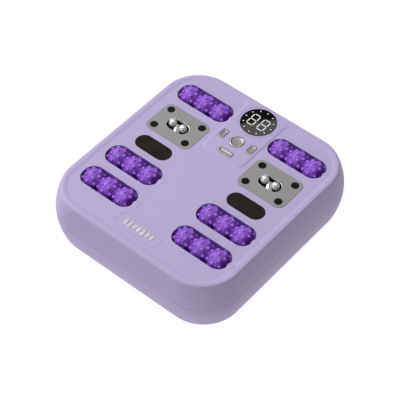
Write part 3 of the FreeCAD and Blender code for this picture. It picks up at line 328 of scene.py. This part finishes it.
SURFACES = {
    "shell_lilac": dict(colour=(176, 163, 200), rough=(0.40, 0.52), grain=0.45 * MM, relief=0.018 * MM,
                        drift=0.012, worn=LILAC_WEAR_AND_HIGHLIGHT, wear=0.5, shine=0.1),
    "cover_lilac": dict(colour=(176, 163, 200), rough=(0.40, 0.52), grain=0.45 * MM, relief=0.018 * MM,
                        drift=0.012, worn=LILAC_WEAR_AND_HIGHLIGHT, wear=0.4, shine=0.1),
    "foot_rubber": dict(colour=(46, 45, 48), rough=(0.75, 0.9), grain=0.6 * MM, relief=0.04 * MM,
                        worn=DARK_WORN, wear=0.5, shine=0.3),
    "screw_steel": dict(colour=(176, 176, 180), rough=(0.25, 0.4), grain=0.3 * MM, relief=0.01 * MM,
                        worn=STEEL_WORN, wear=0.6, metal=1.0),
    # The well's very pale colour is partly painted light: it lightens the shaded far walls of the roller pockets
    # beyond the purple plastic's own colour
    "well_purple": dict(colour=(212, 186, 255), rough=(0.38, 0.52), grain=0.5 * MM, relief=0.02 * MM,
                        drift=0.06, worn=linear(140, 118, 196), wear=0.4),
    "bush_bronze": dict(colour=(184, 140, 84), rough=(0.35, 0.5), grain=0.35 * MM, relief=0.02 * MM,
                        worn=linear(222, 184, 128), wear=0.5, metal=1.0),
    "axle_steel": dict(colour=(188, 188, 192), rough=(0.18, 0.3), grain=0.25 * MM, relief=0.006 * MM,
                       worn=STEEL_WORN, wear=0.5, metal=1.0, brushed=(0.1, 1.0, 1.0)),
    "pulley_nylon": dict(colour=(224, 220, 208), rough=(0.4, 0.55), grain=0.5 * MM, relief=0.02 * MM,
                         worn=linear(240, 238, 230), wear=0.4),
    "motor_steel": dict(colour=(168, 168, 172), rough=(0.28, 0.42), grain=0.3 * MM, relief=0.01 * MM,
                        worn=STEEL_WORN, wear=0.5, metal=1.0, brushed=(1.0, 0.15, 1.0)),
    "belt_rubber": dict(colour=(34, 34, 35), rough=(0.7, 0.88), grain=0.5 * MM, relief=0.04 * MM,
                        worn=DARK_WORN, wear=0.5, shine=0.3),
    "plate_grey": dict(colour=(139, 139, 140), rough=(0.42, 0.55), grain=0.4 * MM, relief=0.012 * MM,
                       drift=0.03, worn=linear(186, 186, 188), wear=0.5, shine=0.35),
    "magnet_black": dict(colour=(13, 12, 12), rough=(0.5, 0.65), grain=0.5 * MM, relief=0.02 * MM,
                         worn=DARK_WORN, wear=0.25, shine=0.1),
    "cup_black": dict(colour=(12, 11, 12), rough=(0.4, 0.6), grain=0.6 * MM, relief=0.02 * MM, shine=0.25),
    "trim_chrome": dict(colour=(216, 215, 212), rough=(0.22, 0.32), grain=0.5 * MM, relief=0.004 * MM,
                        metal=0.6, drift=0.03),
    "yoke_chrome": dict(colour=(158, 158, 159), rough=(0.26, 0.36), grain=0.5 * MM, relief=0.004 * MM,
                        metal=0.4, drift=0.03),
    "ball_chrome": dict(colour=(226, 226, 225), rough=(0.3, 0.4), grain=0.5 * MM, relief=0.003 * MM,
                        metal=0.4, drift=0.03),
    "lens_brown": dict(colour=(36, 28, 26), rough=(0.22, 0.34), grain=0.8 * MM, relief=0.006 * MM,
                       worn=linear(92, 78, 76), wear=0.25, shine=0.15),
    "display_black": dict(colour=(14, 11, 9), rough=(0.01, 0.03), grain=0.9 * MM, relief=0.001 * MM,
                          worn=linear(60, 56, 56), wear=0.3, shine=0.25),
    "button_silver": dict(colour=(184, 184, 182), rough=(0.28, 0.38), grain=0.35 * MM, relief=0.004 * MM,
                          worn=linear(222, 222, 218), wear=0.6, metal=0.75, shine=0.4),
    "inlet_black": dict(colour=(24, 24, 25), rough=(0.4, 0.55), grain=0.5 * MM, relief=0.02 * MM,
                        worn=DARK_WORN, wear=0.4),
    "emblem_silver": dict(colour=(222, 221, 220), rough=(0.22, 0.36), grain=0.5 * MM, relief=0.004 * MM,
                          worn=STEEL_WORN, wear=0.4, metal=0.4),
}


def make_materials():
    materials = {name: plain_surface(name, **settings) for name, settings in SURFACES.items()}
    materials["roller_purple"] = roller_surface()
    materials["board_green"] = board_surface()
    return materials


def dress_cad_nodes(materials):
    """Gives every CAD node the finish that its slot in the record names."""
    for subpart in frame["record"]["subparts"]:
        node = frame["nodes"][subpart["node"]]
        for slot in node.material_slots:
            slot.link = "OBJECT"
            slot.material = materials[subpart["material_slot"]]


# ---------------------------------------------------------------- pieces

def new_object(name, mesh, material, body):
    piece = bpy.data.objects.new(name, mesh)
    bpy.context.scene.collection.objects.link(piece)
    mesh.materials.append(material)
    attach(piece, body)
    return piece


def smooth_max(first, second, blend):
    """The larger of two lengths, rounded over where they are within blend of each other."""
    share = np.clip(0.5 + 0.5 * (first - second) / blend, 0.0, 1.0)
    return second + (first - second) * share + blend * share * (1.0 - share)


def roller_outline():
    """Points (along, radius) from one bore mouth over the hub, the balls and the other hub."""
    reach = 1.5 * BALL_PITCH + HUB_STEP
    along = np.linspace(-reach, reach, OUTLINE_SAMPLES)
    radius = np.full_like(along, CORE_RADIUS)
    radius[np.abs(along) > BALL_PITCH] = HUB_RADIUS
    for middle in (-BALL_PITCH, 0.0, BALL_PITCH):
        ball = np.sqrt(np.clip(BALL_RADIUS ** 2 - (along - middle) ** 2, 0.0, None))
        radius = smooth_max(ball, radius, NECK_BLEND)
    length = np.concatenate(([0.0], np.cumsum(np.hypot(np.diff(along), np.diff(radius)))))
    even = np.linspace(0.0, length[-1], RINGS_ALONG)
    points = np.stack([np.interp(even, length, along), np.interp(even, length, radius)], axis=1)
    start = [(-HUB_HALF_LENGTH, BORE_RADIUS), (-HUB_HALF_LENGTH, HUB_RADIUS)]
    end = [(HUB_HALF_LENGTH, HUB_RADIUS), (HUB_HALF_LENGTH, BORE_RADIUS)]
    return np.array(start + points.tolist() + end)


def nub_directions():
    """Direction from a ball's middle to each of its nubs."""
    for row in range(NUB_ROWS):
        around = math.radians(NUB_PHASE + 360.0 * row / NUB_ROWS)
        for tilt in NUB_TILTS[row % len(NUB_TILTS)]:
            lean = math.radians(tilt)
            level = math.cos(lean)
            yield np.array([math.sin(lean), level * math.cos(around), level * math.sin(around)])


def roller_mesh():
    """Roller about the X axis, as one closed skin whose bore lets the axle through."""
    outline = roller_outline()
    turns = np.linspace(0.0, 2 * math.pi, POINTS_AROUND, endpoint=False)
    along = np.repeat(outline[:, 0], POINTS_AROUND)
    radius = np.repeat(outline[:, 1], POINTS_AROUND)
    around = np.tile(turns, len(outline))
    points = np.stack([along, radius * np.cos(around), radius * np.sin(around)], axis=1)
    raised = np.zeros(len(points))
    for middle in (-BALL_PITCH, 0.0, BALL_PITCH):
        offset = points - np.array([middle, 0.0, 0.0])
        reach = np.linalg.norm(offset, axis=1)
        outward = offset / reach[:, None]
        lift = np.zeros(len(points))
        for direction in nub_directions():
            distance = BALL_RADIUS * np.arccos(np.clip(outward @ direction, -1.0, 1.0))
            fall = np.clip((NUB_FOOT - distance) / (NUB_FOOT - NUB_TOP), 0.0, 1.0)
            lift = np.maximum(lift, fall * fall * (3.0 - 2.0 * fall))
        lift[reach > BALL_RADIUS + NUB_HEIGHT] = 0.0
        points = points + outward * (lift * NUB_HEIGHT)[:, None]
        raised = np.maximum(raised, lift)
    rings = len(outline)
    faces = []
    for ring in range(rings):
        here = ring * POINTS_AROUND
        there = ((ring + 1) % rings) * POINTS_AROUND
        for step in range(POINTS_AROUND):
            after = (step + 1) % POINTS_AROUND
            faces.append((here + step, there + step, there + after, here + after))
    mesh = bpy.data.meshes.new("roller")
    mesh.from_pydata(points.tolist(), [], faces)
    # The nub mask carries the painted highlight on the nub tips
    store_attribute(mesh, "nub", raised)
    # Share of painted shade, growing down into the necks between the balls
    depth = np.clip((BALL_RADIUS - radius) / (BALL_RADIUS - CORE_RADIUS), 0.0, 1.0)
    store_attribute(mesh, "neck_shade", depth ** NECK_FADE)
    mesh.update()
    fix_normals(mesh)
    return mesh


def store_attribute(mesh, name, values):
    attribute = mesh.attributes.new(name, "FLOAT", "POINT")
    attribute.data.foreach_set("value", np.asarray(values, dtype=np.float32))


def fix_normals(mesh, smooth=True):
    """Faces look outwards, and shade smoothly where asked."""
    work = bmesh.new()
    work.from_mesh(mesh)
    bmesh.ops.recalc_face_normals(work, faces=work.faces)
    for face in work.faces:
        face.smooth = smooth
    work.to_mesh(mesh)
    work.free()


def make_rollers(materials):
    mesh = roller_mesh()
    for side in SIDES:
        for row in ROWS:
            node = "roller_%s_%s" % (row, side)
            moved = mesh.copy()
            centre = joint_place(row, side)
            for vertex in moved.vertices:
                vertex.co += centre
            piece = new_object("%s_knobbly_roller_%s" % (row, side), moved, materials["roller_purple"],
                               "roller_set_%s_%s" % (row, side))
            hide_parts(node)
    bpy.data.meshes.remove(mesh)


def joint_place(row, side):
    """Point on the roller's axis at the middle of the roller."""
    name = "%s_roller_spin_%s" % (row, side)
    joint = next(joint for joint in frame["joints"] if joint["name"] == name)
    return Vector(joint["pos_m"])


def ring_points(width, depth, radius, z, centre):
    """Points of a rounded rectangle about centre at height z, anticlockwise from its +X side."""
    radius = min(radius, width / 2, depth / 2)
    points = []
    for quarter in range(4):
        across = (1, -1, -1, 1)[quarter] * (width / 2 - radius)
        upward = (1, 1, -1, -1)[quarter] * (depth / 2 - radius)
        for step in range(CORNER_STEPS + 1):
            angle = math.radians(90.0 * (quarter + step / CORNER_STEPS))
            points.append((centre.x + across + radius * math.cos(angle),
                           centre.y + upward + radius * math.sin(angle), z))
    return points


def loft(name, rings, centre):
    """Closed skin through rounded-rectangle rings, each width, depth, corner radius and height."""
    work = bmesh.new()
    loops = [[work.verts.new(point) for point in ring_points(*ring, centre)] for ring in rings]
    for lower, upper in zip(loops, loops[1:]):
        for index in range(len(lower)):
            after = (index + 1) % len(lower)
            work.faces.new((lower[index], lower[after], upper[after], upper[index]))
    for loop, height in ((loops[0], rings[0][3]), (loops[-1], rings[-1][3])):
        hub = work.verts.new((centre.x, centre.y, height))
        for index in range(len(loop)):
            work.faces.new((loop[index], loop[(index + 1) % len(loop)], hub))
    bmesh.ops.remove_doubles(work, verts=work.verts, dist=WELD_DISTANCE)
    mesh = bpy.data.meshes.new(name)
    work.to_mesh(mesh)
    work.free()
    fix_normals(mesh)
    mesh.set_sharp_from_angle(angle=math.radians(KEY_SHARP_ANGLE))
    return mesh


def make_buttons(materials):
    """Keys with a bevelled rim round a dished face, on a stem that carries a flange."""
    for key in ("select", "start", "minus", "plus"):
        node = "button_" + key
        low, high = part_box(node)
        centre = (low + high) / 2
        width = high.x - low.x - 2 * KEY_FLANGE
        depth = high.y - low.y - 2 * KEY_FLANGE
        round_key = abs(width - depth) < MM
        corner = width / 2 if round_key else KEY_CORNER
        rim = KEY_ROUND_RIM if round_key else KEY_RIM
        dish = KEY_ROUND_DISH if round_key else KEY_DISH
        stem = 2 * KEY_STEM_RADIUS
        flange_top = high.z - KEY_CAP_HEIGHT
        flange_low = flange_top - KEY_FLANGE_HEIGHT
        rings = [(stem, stem, stem / 2, low.z), (stem, stem, stem / 2, flange_low),
                 (high.x - low.x, high.y - low.y, corner + KEY_FLANGE, flange_low),
                 (high.x - low.x, high.y - low.y, corner + KEY_FLANGE, flange_top)]
        steps = [(0.0, flange_top), (0.0, high.z - KEY_BEVEL_DROP)]
        for turn in range(1, KEY_BEVEL_STEPS + 1):
            angle = math.radians(90.0 * turn / KEY_BEVEL_STEPS)
            steps.append((KEY_BEVEL * (1 - math.cos(angle)), high.z - KEY_BEVEL_DROP * (1 - math.sin(angle))))
        for share in KEY_WALL_STEPS:
            fall = share * share * (3.0 - 2.0 * share)
            steps.append((KEY_BEVEL + rim + share * KEY_SLOPE, high.z - dish * KEY_WALL_SHARE * fall))
        inner = KEY_BEVEL + rim + KEY_SLOPE
        for share in KEY_FLOOR_STEPS:
            sunk = KEY_WALL_SHARE + (1 - KEY_WALL_SHARE) * math.sin(share * math.pi / 2)
            steps.append((inner + share * (min(width, depth) / 2 - inner), high.z - dish * sunk))
        for inset, z in steps:
            rings.append((width - 2 * inset, depth - 2 * inset, max(corner - inset, KEY_LEAST_CORNER), z))
        mesh = loft(node + "_cap", rings, centre)
        piece = new_object(key + "_key_cap", mesh, materials["button_silver"], key + "_key")
        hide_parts(node)


def prism(work, outline, low, high):
    """Upright prism over a flat outline of (x, y) points."""
    bottom = [work.verts.new((x, y, low)) for x, y in outline]
    top = [work.verts.new((x, y, high)) for x, y in outline]
    work.faces.new(reversed(bottom))
    work.faces.new(top)
    count = len(outline)
    for index in range(count):
        after = (index + 1) % count
        work.faces.new((bottom[index], bottom[after], top[after], top[index]))


def turned(points, x, y, turn):
    """Flat points turned by an angle from +X and moved to x, y."""
    cosine, sine = math.cos(turn), math.sin(turn)
    return [(x + along * cosine - across * sine, y + along * sine + across * cosine)
            for along, across in points]


def bar_outline(x, y, length, width, turn):
    """Six-sided bar with pointed ends, its length turned by an angle from +X."""
    half = length / 2
    side = width / 2
    corners = ((-half, 0), (side - half, -side), (half - side, -side), (half, 0), (half - side, side),
               (side - half, side))
    return turned(corners, x, y, turn)


def tick_outline(x, y, length, width, turn):
    """Bar with round ends, its length turned by an angle from +X."""
    radius = width / 2
    reach = length / 2 - radius
    points = []
    for end, first in ((1, -90), (-1, 90)):
        for step in range(TICK_END_STEPS + 1):
            angle = math.radians(first + 180 * step / TICK_END_STEPS)
            points.append((end * reach + radius * math.cos(angle), radius * math.sin(angle)))
    return turned(points, x, y, turn)


def make_display_marks(materials):
    """Digits and ticks printed in pale ink on the display window."""
    low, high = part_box("display_lens")
    centre = (low + high) / 2
    bottom = high.z - MARK_HEIGHT
    top = high.z + MARK_HEIGHT / 2
    digits = bmesh.new()
    upright = math.pi / 2
    half_w = DIGIT_WIDTH / 2
    half_h = DIGIT_HEIGHT / 2
    across = DIGIT_WIDTH - 2 * STROKE_GAP
    tall = half_h - 2 * STROKE_GAP
    for sign in (-1, 1):
        x = centre.x + sign * DIGIT_OFFSET
        for level in (-1, 0, 1):
            prism(digits, bar_outline(x, centre.y + level * half_h, across, STROKE, 0.0), bottom, top)
        for edge in (-1, 1):
            for level in (-0.5, 0.5):
                outline = bar_outline(x + edge * half_w, centre.y + level * half_h, tall, STROKE, upright)
                prism(digits, outline, bottom, top)
    ticks = bmesh.new()
    for index in range(TICKS):
        turn = 2 * math.pi * index / TICKS
        x = centre.x + TICK_RADIUS * math.cos(turn)
        y = centre.y + TICK_RADIUS * math.sin(turn)
        prism(ticks, tick_outline(x, y, TICK_LENGTH, TICK_WIDTH, turn), bottom, top)
    for name, work in (("display_digits", digits), ("display_ticks", ticks)):
        mesh = bpy.data.meshes.new(name)
        work.to_mesh(mesh)
        work.free()
        fix_normals(mesh, smooth=False)
        new_object(name, mesh, materials["ink"], "housing")


def ink_surface():
    """Pale ink that is faintly lit from behind."""
    look = Look("display_ink")
    material = finish_surface(look, linear(*INK), rough=(0.35, 0.5), grain=0.4 * MM,
                              relief=0.004 * MM, drift=0.03)
    look.shader.inputs["Emission Color"].default_value = linear(*INK)
    look.shader.inputs["Emission Strength"].default_value = INK_GLOW
    return material


# ---------------------------------------------------------------- room

def make_floor():
    mesh = bpy.data.meshes.new("floor")
    half = FLOOR_SIZE / 2
    work = bmesh.new()
    bmesh.ops.create_grid(work, x_segments=2, y_segments=2, size=half)
    work.to_mesh(mesh)
    work.free()
    floor = bpy.data.objects.new("floor", mesh)
    bpy.context.scene.collection.objects.link(floor)
    look = Look("pale_floor")
    darker, lighter = (linear(shade, shade, shade) for shade in FLOOR_SHADES)
    look.put(look.shader.inputs["Base Color"], look.mix(darker, lighter, look.noise(400 * MM)))
    look.put(look.shader.inputs["Roughness"], look.spread(look.noise(60 * MM), 0.8, 0.95))
    look.shader.inputs["Specular IOR Level"].default_value = 0.1
    look.shader.inputs["Emission Color"].default_value = (1.0, 1.0, 1.0, 1.0)
    look.shader.inputs["Emission Strength"].default_value = FLOOR_GLOW
    mesh.materials.append(look.material)


def facing(place, aim):
    """Rotation that points a lamp at place towards aim."""
    return (Vector(aim) - Vector(place)).to_track_quat("-Z", "Y").to_euler()


def add_lamp(name, place, rotation, size, power):
    data = bpy.data.lights.new(name, "AREA")
    data.shape = "RECTANGLE"
    data.size, data.size_y = size
    data.energy = power
    lamp = bpy.data.objects.new(name, data)
    lamp.location = place
    lamp.rotation_euler = rotation
    bpy.context.scene.collection.objects.link(lamp)


def make_lights():
    world = bpy.data.worlds.new("studio")
    world.use_nodes = True
    background = world.node_tree.nodes["Background"]
    background.inputs["Color"].default_value = (1.0, 1.0, 1.0, 1.0)
    background.inputs["Strength"].default_value = ROOM_LIGHT
    bpy.context.scene.world = world
    for name, place, aim, size, power in LAMPS:
        add_lamp(name, place, facing(place, aim), size, power)
    # A small lamp beyond the display that faces straight down and lays a soft sheen on the glass
    turn = (0.0, 0.0, math.radians(SHEEN_TURN))
    add_lamp("display_sheen", SHEEN_PLACE, turn, SHEEN_SIZE, SHEEN_POWER)


def make_camera():
    azimuth = math.radians(VIEW_AZIMUTH)
    elevation = math.radians(VIEW_ELEVATION)
    back = Vector((math.sin(azimuth) * math.cos(elevation), -math.cos(azimuth) * math.cos(elevation),
                   math.sin(elevation)))
    data = bpy.data.cameras.new("camera")
    data.lens = VIEW_LENS
    data.sensor_width = SENSOR_WIDTH
    data.clip_end = VIEW_REACH
    camera = bpy.data.objects.new("camera", data)
    camera.location = VIEW_AIM + VIEW_DISTANCE * back
    camera.rotation_euler = (-back).to_track_quat("-Z", "Y").to_euler()
    bpy.context.scene.collection.objects.link(camera)
    bpy.context.scene.camera = camera


bpy.context.scene.view_settings.view_transform = "Standard"
materials = make_materials()
materials["ink"] = ink_surface()
dress_cad_nodes(materials)
make_rollers(materials)
make_buttons(materials)
make_display_marks(materials)
make_floor()
make_lights()
make_camera()
